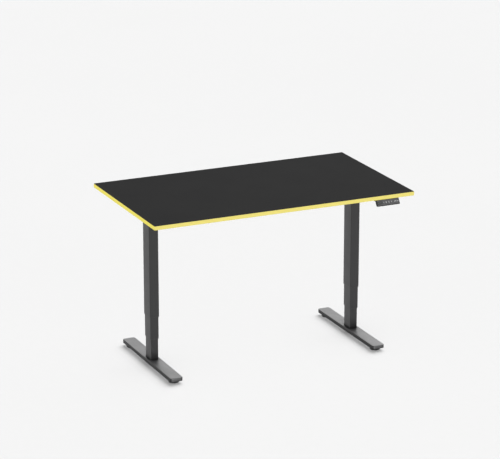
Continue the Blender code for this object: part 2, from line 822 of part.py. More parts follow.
def button_places():
    """Each button's name and its distance along the face from the middle."""
    places = [(f"memory_button_{n + 1}", BUTTON_FIRST + n * BUTTON_PITCH) for n in range(3)]
    places.append(("store_button", BUTTON_FIRST + 3 * BUTTON_PITCH))
    places.append(("up_button", UP_BUTTON))
    places.append(("down_button", UP_BUTTON + BUTTON_PITCH))
    return places


def corner_cutter(along, reach):
    """The waste outside a rounded corner at the origin, its solid side towards along * X and +Y."""
    radius, spill = HANDSET_CORNER, 0.002
    outline = [(-spill, radius), (-spill, -spill), (radius, -spill)]
    for step in range(CORNER_STEPS + 1):
        angle = (3 - step / CORNER_STEPS) * math.pi / 2
        outline.append((radius + radius * math.cos(angle), radius + radius * math.sin(angle)))
    return loft([[Vector((along * x, y, z)) for x, y in outline] for z in (-reach, reach)])


def handset(carriage):
    """The shell under the front edge, with its fascia, window and six buttons."""
    axis = empty("handset_axis", (0, 0, 0), carriage)
    shell = add("handset_shell", sheet_profile(HANDSET_PROFILE, *HANDSET_X), housing_plastic(), axis)
    round_edges(shell, 0.0008)
    frame = face_frame()
    low_side, high_side = HANDSET_X
    heights = [(frame.inverted() @ Vector((0, *point))).y for point in HANDSET_PROFILE]
    for along, label in ((1, "left_corner"), (-1, "right_corner")):
        corner = Matrix.Translation((-along * (high_side - low_side) / 2, min(heights), 0))
        cut(shell, corner_cutter(along, 0.020), label, frame @ corner)
    width, height, depth = FACE_POCKET
    pocket = block((width, height, 2 * depth))
    cut(shell, pocket, "face_pocket", frame)
    cut(shell, holes(HANDSET_SCREWS, 0.0018, UNDERSIDE - 0.015, UNDERSIDE + 0.002), "screw_holes")

    back = -GAP - FASCIA_THICKNESS
    outer = (width - 2 * GAP, height - 2 * GAP, 0.0010)
    plate = loft([rounded_rectangle(*outer, z, 2) for z in (back, -GAP)])
    fascia = add("handset_fascia", plate, housing_plastic(), axis, frame)
    button_corner = 0.0015
    thick = FASCIA_THICKNESS + 0.004
    for name, x in button_places():
        place = frame @ Matrix.Translation((x, 0, back + FASCIA_THICKNESS / 2))
        hole = [size + 2 * GAP for size in BUTTON[:2]]
        opening = loft([rounded_rectangle(*hole, button_corner, z, 2) for z in (-thick / 2, thick / 2)])
        cut(fascia, opening, name, place)
        button_frame = empty(f"{name}_axis", (0, 0, 0), carriage)
        button_frame.matrix_local = frame @ Matrix.Translation((x, 0, 0))
        low = BUTTON_PROUD - BUTTON[2]
        cap = [
            rounded_rectangle(BUTTON[0], BUTTON[1], button_corner, low, 2),
            rounded_rectangle(BUTTON[0], BUTTON[1], button_corner, BUTTON_PROUD - 0.0004, 2),
            rounded_rectangle(BUTTON[0] - 0.0008, BUTTON[1] - 0.0008, 0.0011, BUTTON_PROUD, 2),
        ]
        add(name, loft(cap), button_plastic(), button_frame)
    window_hole = block((*WINDOW, thick), (WINDOW_CENTRE, 0, back + FASCIA_THICKNESS / 2))
    cut(fascia, window_hole, "window_opening", frame)
    pane = [size - 2 * GAP for size in WINDOW]
    lens = block((*pane, 0.001), (WINDOW_CENTRE, 0, -GAP - 0.0005))
    add("display_window", lens, window_plastic(), axis, frame)


# Leads


def smooth_route(points, spacing):
    """Evenly spaced points on a smooth curve through the given ones."""
    points = [Vector(point) for point in points]
    ends = [2 * points[0] - points[1], *points, 2 * points[-1] - points[-2]]
    fine = []
    for before, start, end, after in zip(ends, ends[1:], ends[2:], ends[3:]):
        for step in range(40):
            t = step / 40
            bend = 2 * before - 5 * start + 4 * end - after
            twist = 3 * start - before - 3 * end + after
            fine.append(start + 0.5 * (t * (end - before) + t**2 * bend + t**3 * twist))
    fine.append(points[-1])
    reached = [0.0]
    for a, b in zip(fine, fine[1:]):
        reached.append(reached[-1] + (b - a).length)
    count = max(2, round(reached[-1] / spacing))
    route = []
    index = 0
    for number in range(count + 1):
        target = reached[-1] * number / count
        while index < len(fine) - 2 and reached[index + 1] < target:
            index += 1
        share = (target - reached[index]) / (reached[index + 1] - reached[index])
        route.append(fine[index].lerp(fine[index + 1], share))
    return route


def lead(name, points, radius, carriage):
    """A cable clipped up under the desktop, along a smooth route."""
    curve = bpy.data.curves.new(name, "CURVE")
    curve.dimensions = "3D"
    curve.bevel_depth = radius
    curve.bevel_resolution = 2
    curve.use_fill_caps = True
    route = smooth_route(points, 8 * radius)
    spline = curve.splines.new("POLY")
    spline.points.add(len(route) - 1)
    for target, point in zip(spline.points, route):
        target.co = (*point, 1)
    thing = bpy.data.objects.new(name, curve)
    thing.data.materials.append(cable_jacket())
    bpy.context.scene.collection.objects.link(thing)
    thing.parent = carriage


def leads(carriage):
    """The motor leads and the handset lead, each ending in a socket of the control box."""
    motor_end = COLUMN_X - GEARBOX[0] / 2 - MOTOR_LENGTH - 3 * GAP
    box_front = BOX_CENTRE[1] - BOX_SIZE[1] / 2
    socket_z = UNDERSIDE - 2 * GAP - BOX_PLATE - BOX_SIZE[2] + SOCKET_RISE
    for side, sign, socket_x in (("left", -1, SOCKET_X[0]), ("right", 1, SOCKET_X[2])):
        points = (
            (sign * motor_end, WORM_OFFSET, WORM_Z),
            (sign * (motor_end - 0.012), WORM_OFFSET, WORM_Z),
            (sign * (motor_end - 0.024), WORM_OFFSET, WORM_Z + 0.001),
            (sign * (motor_end - 0.060), WORM_OFFSET, LEAD_Z - 0.002),
            (sign * (motor_end - 0.090), WORM_OFFSET, LEAD_Z),
            (sign * 0.200, WORM_OFFSET, LEAD_Z),
            (socket_x + sign * 0.035, WORM_OFFSET + 0.004, LEAD_Z),
            (socket_x + sign * 0.006, WORM_OFFSET + 0.022, LEAD_Z),
            (socket_x, RAIL_Y, LEAD_Z),
            (socket_x, RAIL_Y + 0.022, LEAD_Z - 0.001),
            (socket_x, box_front - 0.022, socket_z + 0.003),
            (socket_x, box_front - 0.006, socket_z),
            (socket_x, box_front + 0.001, socket_z),
        )
        lead(f"{side}_motor_lead", points, LEAD_RADIUS, carriage)
    handset_x = sum(HANDSET_X) / 2
    rear = HANDSET_PROFILE[-1][0]
    points = (
        (handset_x, rear + GAP, LEAD_Z - 0.001),
        (handset_x, rear + 0.020, LEAD_Z),
        (handset_x - 0.020, rear + 0.055, LEAD_Z),
        (handset_x - 0.070, rear + 0.075, LEAD_Z),
        (0.300, rear + 0.090, LEAD_Z),
        (0.060, rear + 0.110, LEAD_Z),
        (0.012, rear + 0.135, LEAD_Z),
        (0.000, rear + 0.190, LEAD_Z),
        (0.000, -RAIL_Y, LEAD_Z),
        (0.000, RAIL_Y, LEAD_Z),
        (0.000, RAIL_Y + 0.022, LEAD_Z - 0.001),
        (0.000, box_front - 0.022, socket_z + 0.003),
        (0.000, box_front - 0.006, socket_z),
        (0.000, box_front + 0.001, socket_z),
    )
    lead("handset_lead", points, HANDSET_LEAD_RADIUS, carriage)


def main():
    for thing in list(bpy.data.objects):
        bpy.data.objects.remove(thing, do_unlink=True)
    carriage = empty("carriage_axis", (0, 0, 0))
    desktop(carriage)
    for side, sign in (("left", -1), ("right", 1)):
        leg(side, sign, carriage)
    rails(carriage)
    control_box(carriage)
    handset(carriage)
    leads(carriage)


main()
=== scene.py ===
"""The looks of the height adjustable desk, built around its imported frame, in metres with +Z up."""

import json
import math

import bmesh
import bpy
from mathutils import Matrix, Vector

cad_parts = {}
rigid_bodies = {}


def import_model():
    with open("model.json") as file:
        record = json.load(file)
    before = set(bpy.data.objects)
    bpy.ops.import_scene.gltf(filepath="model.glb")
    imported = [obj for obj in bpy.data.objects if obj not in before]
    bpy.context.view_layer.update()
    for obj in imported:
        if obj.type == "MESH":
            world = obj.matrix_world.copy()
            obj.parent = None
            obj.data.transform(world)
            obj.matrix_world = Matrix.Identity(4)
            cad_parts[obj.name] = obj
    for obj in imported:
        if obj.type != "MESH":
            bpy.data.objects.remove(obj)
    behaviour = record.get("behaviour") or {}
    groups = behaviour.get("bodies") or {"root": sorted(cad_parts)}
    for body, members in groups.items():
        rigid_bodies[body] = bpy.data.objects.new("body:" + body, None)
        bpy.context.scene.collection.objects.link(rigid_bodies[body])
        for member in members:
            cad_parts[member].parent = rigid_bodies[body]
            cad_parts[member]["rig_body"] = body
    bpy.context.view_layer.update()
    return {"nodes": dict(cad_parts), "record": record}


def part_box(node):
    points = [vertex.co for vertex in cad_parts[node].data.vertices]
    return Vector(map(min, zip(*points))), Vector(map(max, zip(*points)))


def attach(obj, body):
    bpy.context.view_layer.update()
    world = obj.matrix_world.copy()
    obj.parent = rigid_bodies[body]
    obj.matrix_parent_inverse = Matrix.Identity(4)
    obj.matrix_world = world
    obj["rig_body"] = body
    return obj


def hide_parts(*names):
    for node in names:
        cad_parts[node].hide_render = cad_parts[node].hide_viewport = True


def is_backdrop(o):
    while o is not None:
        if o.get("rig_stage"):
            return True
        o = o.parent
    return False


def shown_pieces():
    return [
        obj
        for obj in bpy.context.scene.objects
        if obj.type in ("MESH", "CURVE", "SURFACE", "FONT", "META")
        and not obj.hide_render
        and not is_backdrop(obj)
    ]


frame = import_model()

NODES = frame["nodes"]
SLOT_OF = {row["node"]: row["material_slot"] for row in frame["record"]["subparts"]}
SIDES = (("left", -1), ("right", 1))
FULL_TURN = 2 * math.pi
QUADRANTS = ((1, 1), (-1, 1), (-1, -1), (1, -1))

# Steps round a circle, steps round a tube's corner, and the angle in degrees over which an edge is sharp.
ROUND_STEPS = 32
CORNER_STEPS = 10
SHARP = 30

# The gap that the CAD leaves between pieces that touch, and the easing of a plain cut rim.
GAP = 0.0003
EASE = 0.0003

# The board: the edging's width, the height of the laminate's rim over it, and the corners' radius.
BAND = 0.001
LAMINATE = 0.0006
TOP_CORNER = 0.003

# The columns: the tubes' wall and corners, the plates in their ends with their weld and tabs, and the
# slide bushes' lips, which stand a little inside the tube's face.
WALL = 0.0015
OUTER_CORNER = 0.0040
MIDDLE_CORNER = 0.0035
INNER_CORNER = 0.0030
BASE_PLATE = 0.008
HEAD_PLATE = 0.004
HEAD_PLATE_CORNER = 0.003
HEAD_PLATE_HOLE = 0.009
HEAD_WELD = 0.003
TAB_SHEET = 0.003
TAB_WIDTH = 0.026
LIP = 0.0012
LIP_INSET = 0.0005

# The feet: the corners' radius, the rounding of the top's edges, the sheet, and the glides' places and studs.
FOOT_CORNER = 0.012
FOOT_EDGE = 0.0025
FOOT_SHEET = 0.003
GLIDE_Y = 0.275
STUD_RADIUS = 0.0040

# The frame under the board: the sheet of the brackets and of the covers, and the rails' corners.
BRACKET_SHEET = 0.0025
COVER_SHEET = 0.0012
RAIL_CORNER = 0.003

# The handset: the Y of its face's upper and lower edges, how far the lower one and the screws' heads
# hang under the board, how far the button caps stand out, and the height of print.
FACE_TOP_Y = -0.3985
FACE_LOW_Y = -0.4165
FACE_DROP = 0.0266
SCREW_DROP = 0.0098
CAP_HEIGHT = 0.0005
PRINT_HEIGHT = 0.00008

# The leads: their radii, how far they hang under the board, the Y that the motor leads leave along,
# and the control box's sockets, as the X and the lead's radius, with their height in the box.
MOTOR_LEAD = 0.0025
HANDSET_LEAD = 0.0020
LEAD_DROP = 0.0042
MOTOR_LEAD_Y = 0.0205
SOCKETS = ((-0.070, MOTOR_LEAD), (0.0, HANDSET_LEAD), (0.070, MOTOR_LEAD))
SOCKET_HEIGHT = 0.015

# Where screws stand: from the column's axis, from the control box's middle, and on the desk.
BOLT_PLACES = [(x, y) for x in (-0.0105, 0.0105) for y in (-0.0255, 0.0255)]
BRACKET_PLACES = [(x, y) for x in (-0.016, 0.016) for y in (-0.255, -0.150, 0.150, 0.255)]
COVER_PLACES = [(x, y) for x in (0.0443, 0.1343) for y in (-0.0508, 0.0508)]
PLATE_PLACES = [(x, y) for x in (-0.126, 0.126) for y in (-0.035, 0.035)]
HANDSET_PLACES = [(x, -0.362) for x in (0.5030, 0.5930)]

# Each screw: its head's radius and height, its key's width, its shank's radius and length, and its dome.
FOOT_BOLT = (0.0062, 0.0060, 0.0050, 0.0032, 0.0085, 0.0)
BRACKET_SCREW = (0.0052, 0.0026, 0.0030, 0.0024, 0.0027, 0.0008)
COVER_SCREW = (0.0036, 0.0020, 0.0022, 0.0016, 0.0014, 0.0006)
PLATE_SCREW = (0.0045, 0.0024, 0.0028, 0.0022, 0.0020, 0.0008)
HANDSET_SCREW = (0.0034, 0.0018, 0.0022, 0.0016, 0.0090, 0.0006)
CLIP_SCREW = (0.0026, 0.0014, 0.0018, 0.0012, 0.0010, 0.0004)

# The colour sockets of a mix node, which share their names with its other sockets.
MIX_FIRST = 6
MIX_SECOND = 7
MIX_RESULT = 2

TOP_LOW, TOP_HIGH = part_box("edge_band")
UNDERSIDE = TOP_LOW.z


# Shapes


def rounded_rectangle(width, depth, radius, z, steps=8):
    """The points of a rounded rectangle at height z, anticlockwise."""
    points = []
    for quarter, (along_x, along_y) in enumerate(QUADRANTS):
        centre_x = along_x * (width / 2 - radius)
        centre_y = along_y * (depth / 2 - radius)
        for step in range(steps + 1):
            angle = (quarter + step / steps) * math.pi / 2
            x = centre_x + radius * math.cos(angle)
            y = centre_y + radius * math.sin(angle)
            points.append(Vector((x, y, z)))
    return points


def circle(radius, z, steps=ROUND_STEPS):
    """The points of a circle at height z."""
    angles = [FULL_TURN * step / steps for step in range(steps)]
    return [Vector((radius * math.cos(a), radius * math.sin(a), z)) for a in angles]


def hexagon(across, z):
    """The points of a hexagon that measures across between its flats, evenly spaced in angle."""
    points = []
    for step in range(ROUND_STEPS):
        angle = FULL_TURN * step / ROUND_STEPS
        off_flat = (angle + math.pi / 6) % (math.pi / 3) - math.pi / 6
        radius = across / 2 / math.cos(off_flat)
        points.append(Vector((radius * math.cos(angle), radius * math.sin(angle), z)))
    return points


def loft(loops, closed=False):
    """A mesh through loops of equal count: capped at its two ends, or closed into a ring."""
    mesh = bmesh.new()
    rings = [[mesh.verts.new(point) for point in loop] for loop in loops]
    pairs = list(zip(rings, rings[1:]))
    if closed:
        pairs.append((rings[-1], rings[0]))
    else:
        mesh.faces.new(reversed(rings[0]))
        mesh.faces.new(rings[-1])
    for lower, upper in pairs:
        for index in range(len(lower)):
            mesh.faces.new((lower[index - 1], lower[index], upper[index], upper[index - 1]))
    if mesh.calc_volume(signed=True) < 0:
        bmesh.ops.reverse_faces(mesh, faces=mesh.faces)
    return mesh


def block(size):
    """A box of this size about the origin."""
    mesh = bmesh.new()
    bmesh.ops.create_cube(mesh, size=1, matrix=Matrix.Diagonal((*size, 1)))
    return mesh


def turned(profile, steps=ROUND_STEPS):
    """A solid of revolution about Z, from (radius, z) pairs."""
    return loft([circle(radius, z, steps) for radius, z in profile])


def turned_ring(profile):
    """A ring about Z whose cross-section is the closed outline of (radius, z) pairs."""
    return loft([circle(radius, z) for radius, z in profile], closed=True)


def merge(meshes):
    """Several meshes as the separate shells of one."""
    whole = bmesh.new()
    for mesh in meshes:
        data = bpy.data.meshes.new("part")
        mesh.to_mesh(data)
        mesh.free()
        whole.from_mesh(data)
        bpy.data.meshes.remove(data)
    return whole


def moved(mesh, matrix):
    """The mesh in a new place."""
    bmesh.ops.transform(mesh, matrix=matrix, verts=mesh.verts)
    return mesh


def soften(mesh, width):
    """Rounds every sharp edge."""
    limit = math.radians(SHARP)
    sharp = [edge for edge in mesh.edges if len(edge.link_faces) == 2 and edge.calc_face_angle(0) > limit]
    bmesh.ops.bevel(
        mesh, geom=sharp, offset=width, segments=2, profile=0.5, affect="EDGES", clamp_overlap=True
    )
    return mesh


def inset_loops(size, corner, outline, steps):
    """A rounded rectangle of this size for each (inset, z) pair of an outline."""
    loops = []
    for inset, z in outline:
        loops.append(rounded_rectangle(size[0] - 2 * inset, size[1] - 2 * inset, corner - inset, z, steps))
    return loops


def section_ring(size, corner, outline):
    """A ring round a rounded rectangle of this size. Its cross-section is an outline of (inset, z) pairs."""
    return loft(inset_loops(size, corner, outline, CORNER_STEPS), closed=True)


def arc(centre, radius, start, end, steps):
    """Points (u, v) on an arc about centre, from start to end in degrees."""
    points = []
    for step in range(steps + 1):
        angle = math.radians(start + (end - start) * step / steps)
        points.append((centre[0] + radius * math.cos(angle), centre[1] + radius * math.sin(angle)))
    return points


def threaded(radius, depth, pitch, low, high):
    """The (radius, z) profile of a fine thread, drawn as rings."""
    plain = 0.0005
    count = int((high - low - 2 * plain) / pitch)
    rows = [(radius - depth, low)]
    for turn in range(count):
        z = low + plain + turn * pitch
        rows += [(radius - depth, z), (radius, z + pitch * 0.4), (radius, z + pitch * 0.6)]
    rows.append((radius - depth, high))
    return rows


def socket_screw(head_radius, head_height, key, shank_radius, shank_length, dome):
    """A screw driven upwards at z = 0: its head below with a hexagonal recess, its shank above."""
    ease = min(0.0005, head_height / 4)
    depth = head_height * 0.55
    loops = [hexagon(key * 0.02, -head_height + depth), hexagon(key, -head_height + depth)]
    loops += [hexagon(key, -head_height), circle(head_radius - ease, -head_height)]
    loops += [circle(head_radius, z) for z in (-head_height + ease + dome, 0)]
    loops += [circle(shank_radius, 0), circle(shank_radius, shank_length)]
    return loft(loops)


# Pieces


def piece(name, mesh, slot, body, replaces=(), matrix=None, smooth=35, material=None):
    """The mesh as a piece that rides on a body, with the finish of a slot of the record."""
    if matrix is not None:
        moved(mesh, matrix)
    data = bpy.data.meshes.new(name)
    mesh.to_mesh(data)
    mesh.free()
    data.shade_smooth()
    data.set_sharp_from_angle(angle=math.radians(smooth))
    data.materials.append(material or FINISH[slot])
    thing = bpy.data.objects.new(name, data)
    bpy.context.scene.collection.objects.link(thing)
    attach(thing, body)
    if replaces:
        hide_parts(*replaces)
    return thing


def refined(node, width, smooth=40):
    """A CAD node's own shape with its edges rounded, standing for the node."""
    same_place = 2e-6
    flat = math.radians(0.5)
    mesh = bmesh.new()
    mesh.from_mesh(NODES[node].data)
    bmesh.ops.remove_doubles(mesh, verts=mesh.verts, dist=same_place)
    bmesh.ops.dissolve_limit(mesh, angle_limit=flat, verts=mesh.verts, edges=mesh.edges)
    soften(mesh, width)
    return piece(f"{node}_shape", mesh, SLOT_OF[node], NODES[node]["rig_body"], [node], smooth=smooth)


def middle(node):
    """The middle of a CAD node's box."""
    low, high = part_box(node)
    return (low + high) / 2


def size_of(node):
    """The size of a CAD node's box."""
    low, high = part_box(node)
    return high - low


def screws(name, places, height, sizes):
    """A set of like screws driven up into the desk, their heads under height."""
    made = [moved(socket_screw(*sizes), Matrix.Translation((x, y, height))) for x, y in places]
    piece(name, merge(made), "bare_steel", "carriage", material=BLACK_OXIDE)


# Materials


def shader_node(tree, kind, **settings):
    """A shader node with some of its properties and inputs set."""
    made = tree.nodes.new(kind)
    for key, value in settings.items():
        if hasattr(made, key):
            setattr(made, key, value)
        else:
            made.inputs[key.replace("_", " ").title()].default_value = value
    return made


def ramp(tree, value, low, high, start=0.0, end=1.0):
    """A number from low to high as value goes from start to end."""
    made = shader_node(tree, "ShaderNodeMapRange", from_min=start, from_max=end, to_min=low, to_max=high)
    tree.links.new(value, made.inputs["Value"])
    return made.outputs["Result"]


def tones(tree, value, dark, light):
    """A colour from dark to light as value crosses the middle of its range."""
    made = tree.nodes.new("ShaderNodeValToRGB")
    for element, position, colour in zip(made.color_ramp.elements, (0.3, 0.7), (dark, light)):
        element.position = position
        element.color = (*colour, 1)
    tree.links.new(value, made.inputs["Fac"])
    return made.outputs["Color"]


def painted_corner_shade(tree, colour, shader, reach, darkest, specular):
    """Paints shade into inner corners, where less of the surround's light reaches: within reach in metres,
    the colour and the shine fall to darkest of their full value where half of the view is blocked."""
    openness = shader_node(tree, "ShaderNodeAmbientOcclusion", samples=16, distance=reach)
    share = ramp(tree, openness.outputs["AO"], darkest, 1.0, 0.5, 1.0)
    tree.links.new(ramp(tree, share, 0.0, specular), shader.inputs["Specular IOR Level"])
    shade_mix = shader_node(tree, "ShaderNodeMix", data_type="RGBA", blend_type="MIX")
    shade_mix.inputs[MIX_FIRST].default_value = (0, 0, 0, 1)
    tree.links.new(share, shade_mix.inputs["Factor"])
    tree.links.new(colour, shade_mix.inputs[MIX_SECOND])
    return shade_mix.outputs[MIX_RESULT]


def surface(
    name, dark, light, rough, grain, relief, patch=0.06, metallic=0.0, specular=0.5, coat=0.0, corner_shade=None
):
    """A finish: two tones in soft patches, roughness that varies between two values, and a grain of this size
    in metres that stands relief metres high. The last argument gives the reach and darkest of the shade
    painted into inner corners."""
    material = bpy.data.materials.new(name)
    material.use_nodes = True
    tree = material.node_tree
    shader = tree.nodes["Principled BSDF"]
    shader.inputs["Metallic"].default_value = metallic
    shader.inputs["Specular IOR Level"].default_value = specular
    shader.inputs["Coat Weight"].default_value = coat
    place = shader_node(tree, "ShaderNodeTexCoord")
    patches = shader_node(tree, "ShaderNodeTexNoise", scale=1 / patch, detail=5.0, roughness=0.6)
    fine = shader_node(tree, "ShaderNodeTexNoise", scale=1 / grain, detail=2.0, roughness=0.6)
    for texture in (patches, fine):
        tree.links.new(place.outputs["Object"], texture.inputs["Vector"])
    blend = shader_node(tree, "ShaderNodeMix", data_type="FLOAT", factor=0.4)
    tree.links.new(patches.outputs["Fac"], blend.inputs["A"])
    tree.links.new(fine.outputs["Fac"], blend.inputs["B"])
    mixed = blend.outputs["Result"]
    colour = tones(tree, mixed, dark, light)
    if corner_shade:
        # Painted shade: the colour and the shine darken in inner corners.
        colour = painted_corner_shade(tree, colour, shader, *corner_shade, specular)
    tree.links.new(colour, shader.inputs["Base Color"])
    tree.links.new(ramp(tree, mixed, rough[0], rough[1], 0.35, 0.65), shader.inputs["Roughness"])
    bump = shader_node(tree, "ShaderNodeBump", strength=1.0, distance=relief)
    tree.links.new(fine.outputs["Fac"], bump.inputs["Height"])
    tree.links.new(bump.outputs["Normal"], shader.inputs["Normal"])
    return material


def powder_coat(name, corner_shade):
    """The frame's graphite powder coat, with shade painted into its inner corners; the second argument gives
    that shade's reach and darkest.
    """
    dark, light = (0.021, 0.021, 0.0215), (0.028, 0.028, 0.0285)
    return surface(name, dark, light, (0.40, 0.52), 0.0006, 0.00005, patch=0.05, corner_shade=corner_shade)


def finishes():
    """The finish of each material slot in the record."""
    return {
        "desktop_laminate": surface(
            "laminate", (0.0095, 0.0095, 0.0096), (0.0106, 0.0106, 0.0107), (0.56, 0.62), 0.0009, 0.00003,
            patch=0.20, specular=0.008,
        ),
        "yellow_edging": surface(
            "edging", (0.90, 0.78, 0.118), (0.93, 0.81, 0.132), (0.42, 0.56), 0.0016, 0.00002, specular=0.05
        ),
        # Painted shade in the coat's inner corners, reaching 6 cm.
        "graphite_coat": powder_coat("powder_coat", (0.06, 0.45)),
        "bare_steel": surface(
            "steel", (0.42, 0.42, 0.43), (0.60, 0.60, 0.61), (0.22, 0.42), 0.0008, 0.00001, metallic=1.0
        ),
        "cast_metal": surface(
            "cast", (0.34, 0.34, 0.35), (0.46, 0.46, 0.47), (0.45, 0.62), 0.0010, 0.00008, metallic=1.0
        ),
        "slide_plastic": surface(
            "acetal", (0.016, 0.016, 0.016), (0.024, 0.024, 0.024), (0.32, 0.45), 0.0012, 0.00001
        ),
        "bronze": surface(
            "bronze", (0.46, 0.27, 0.10), (0.62, 0.39, 0.16), (0.25, 0.42), 0.0010, 0.00001, metallic=1.0
        ),
        "glide_plastic": surface(
            "glide", (0.020, 0.020, 0.020), (0.034, 0.034, 0.034), (0.5, 0.7), 0.0008, 0.00004
        ),
        "housing_plastic": surface(
            "housing", (0.005, 0.005, 0.0052), (0.008, 0.008, 0.0082), (0.48, 0.62), 0.0005, 0.00004,
            specular=0.12,
        ),
        "fascia_plastic": surface(
            "fascia", (0.092, 0.092, 0.094), (0.108, 0.108, 0.110), (0.30, 0.42), 0.0006, 0.00001
        ),
        "button_plastic": surface(
            "button", (0.070, 0.070, 0.073), (0.086, 0.086, 0.089), (0.40, 0.52), 0.0004, 0.00002
        ),
        "window_plastic": surface(
            "window", (0.012, 0.013, 0.013), (0.016, 0.017, 0.017), (0.06, 0.10), 0.0040, 0.000002, coat=0.5
        ),
        "cable_jacket": surface(
            "jacket", (0.014, 0.014, 0.014), (0.022, 0.022, 0.022), (0.42, 0.58), 0.0007, 0.00002
        ),
        "circuit_board": surface(
            "solder_mask", (0.010, 0.075, 0.030), (0.016, 0.105, 0.045), (0.28, 0.40), 0.0012, 0.00003
        ),
    }


FINISH = finishes()
# The feet's own copy of the coat, with deeper painted shade that reaches further, standing in for the contact
# shadow round each column's base.
FOOT_COAT_DEEP_SHADE = powder_coat("foot_powder_coat", (0.09, 0.20))
ZINC = surface("zinc", (0.40, 0.41, 0.43), (0.55, 0.56, 0.57), (0.25, 0.4), 0.0006, 0.00001, metallic=1.0)
BLACK_OXIDE = surface("black_oxide", (0.03, 0.03, 0.032), (0.05, 0.05, 0.052), (0.3, 0.45), 0.0006, 0.00001)
DIM_PRINT = surface("dim_print", (0.16, 0.17, 0.17), (0.20, 0.21, 0.21), (0.45, 0.55), 0.0005, 0.000005)
PRINT = surface("light_print", (0.86, 0.87, 0.87), (0.92, 0.93, 0.93), (0.45, 0.55), 0.0005, 0.000005)


# Desktop


def edge_band():
    """The yellow edging all round the board, its arrises eased, and the laminate's rim that laps over it."""
    arris = 0.0004
    joint = 0.0001
    rim = 0.0002
    seam = 0.00002
    top = TOP_HIGH.z - LAMINATE
    size = TOP_HIGH - TOP_LOW
    place = Matrix.Translation((middle("edge_band").x, middle("edge_band").y, 0))
    outline = [(BAND, TOP_LOW.z)]
    outline += [(arris + u, TOP_LOW.z + arris + v) for u, v in arc((0, 0), arris, 270, 180, 4)]
    outline += [(0, top - joint), (joint, top), (BAND, top)]
    mesh = section_ring(size, TOP_CORNER, outline)
    piece("edging_strip", mesh, "yellow_edging", "carriage", ["edge_band"], place, smooth=30)
    inner = BAND + GAP - seam
    outline = [(inner, top + seam), (0, top + seam), (0, TOP_HIGH.z - rim), (rim, TOP_HIGH.z)]
    outline.append((inner, TOP_HIGH.z))
    mesh = section_ring(size, TOP_CORNER, outline)
    piece("laminate_rim", mesh, "desktop_laminate", "carriage", (), place, smooth=30)


# Columns


def column_place(side):
    """The column's axis on the floor."""
    at = middle(f"{side}_middle_tube")
    return Matrix.Translation((at.x, at.y, 0))


def pipe_outline(low, high):
    """The (inset, z) section of a tube's wall, with its rims eased."""
    return (
        (EASE, low),
        (0, low + EASE),
        (0, high - EASE),
        (EASE, high),
        (WALL - EASE, high),
        (WALL, high - EASE),
        (WALL, low + EASE),
        (WALL - EASE, low),
    )


def pipe(size, corner, low, high):
    """A rounded rectangular tube."""
    return section_ring(size, corner, pipe_outline(low, high))


def head_plate(size, low, high):
    """The plate on top of a column: rectangular, with a round hole, its rims eased."""
    rim = 0.0004
    outline = ((rim, low), (0, low + rim), (0, high - rim), (rim, high))
    loops = inset_loops(size, HEAD_PLATE_CORNER, outline, 8)
    loops += [circle(HEAD_PLATE_HOLE, z, len(loops[0])) for z in (high, low)]
    return loft(loops, closed=True)


def head_tabs(size, low, high):
    """The four upright tabs of a head plate, which the side bracket is bolted to."""
    inset = 0.0005
    tabs = []
    for along_x, along_y in QUADRANTS:
        x = along_x * (size[0] / 2 - TAB_SHEET / 2 - inset)
        y = along_y * (size[1] / 2 - TAB_WIDTH / 2 - inset)
        tab = soften(block((TAB_SHEET, TAB_WIDTH, high - low)), 0.0005)
        tabs.append(moved(tab, Matrix.Translation((x, y, high - (high - low) / 2))))
    return tabs


def fixed_stage(side):
    """The lowest tube of a column, with the base plate welded into its foot."""
    overlap = 0.0002
    low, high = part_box(f"{side}_inner_tube")
    tube = pipe(high - low, INNER_CORNER, low.z, high.z)
    size = [width - 2 * WALL + overlap for width in (high - low)[:2]]
    plate = loft([rounded_rectangle(*size, INNER_CORNER - WALL, z) for z in (low.z, low.z + BASE_PLATE)])
    mesh = merge([tube, plate])
    replaced = [f"{side}_inner_tube"]
    piece(f"{side}_fixed_stage", mesh, "graphite_coat", f"{side}_base", replaced, column_place(side))


def middle_stage(side):
    """The middle tube of a column."""
    low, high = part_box(f"{side}_middle_tube")
    mesh = pipe(high - low, MIDDLE_CORNER, low.z, high.z)
    replaced = [f"{side}_middle_tube"]
    piece(f"{side}_middle_stage", mesh, "graphite_coat", f"{side}_middle", replaced, column_place(side))


def top_stage(side):
    """The largest tube of a column, with the head plate welded on and the plate's tabs."""
    low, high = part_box(f"{side}_outer_tube")
    size = (high.x - low.x, high.y - low.y)
    plate_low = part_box(f"{side}_gearbox")[0].z - GAP - HEAD_PLATE
    tube_high = plate_low + 0.0005
    weld_low = plate_low - HEAD_WELD
    weld_high = plate_low + 0.0003
    tab_low = plate_low + 0.003
    section = [width + 2 * LIP_INSET for width in size_of(f"{side}_outer_guide")[:2]]
    tube = pipe(section, OUTER_CORNER, low.z, tube_high)
    sunk = 0.0004
    bead = [(sunk, weld_low)]
    bead += [(u - HEAD_WELD, weld_low + v) for u, v in arc((0, 0), HEAD_WELD, 0, 90, 5)]
    bead += [(sunk, weld_high)]
    weld = section_ring(section, OUTER_CORNER, bead)
    plate = head_plate(size, plate_low, plate_low + HEAD_PLATE)
    mesh = merge([tube, weld, plate, *head_tabs(size, tab_low, high.z)])
    replaced = [f"{side}_outer_tube"]
    piece(f"{side}_top_stage", mesh, "graphite_coat", "carriage", replaced, column_place(side))


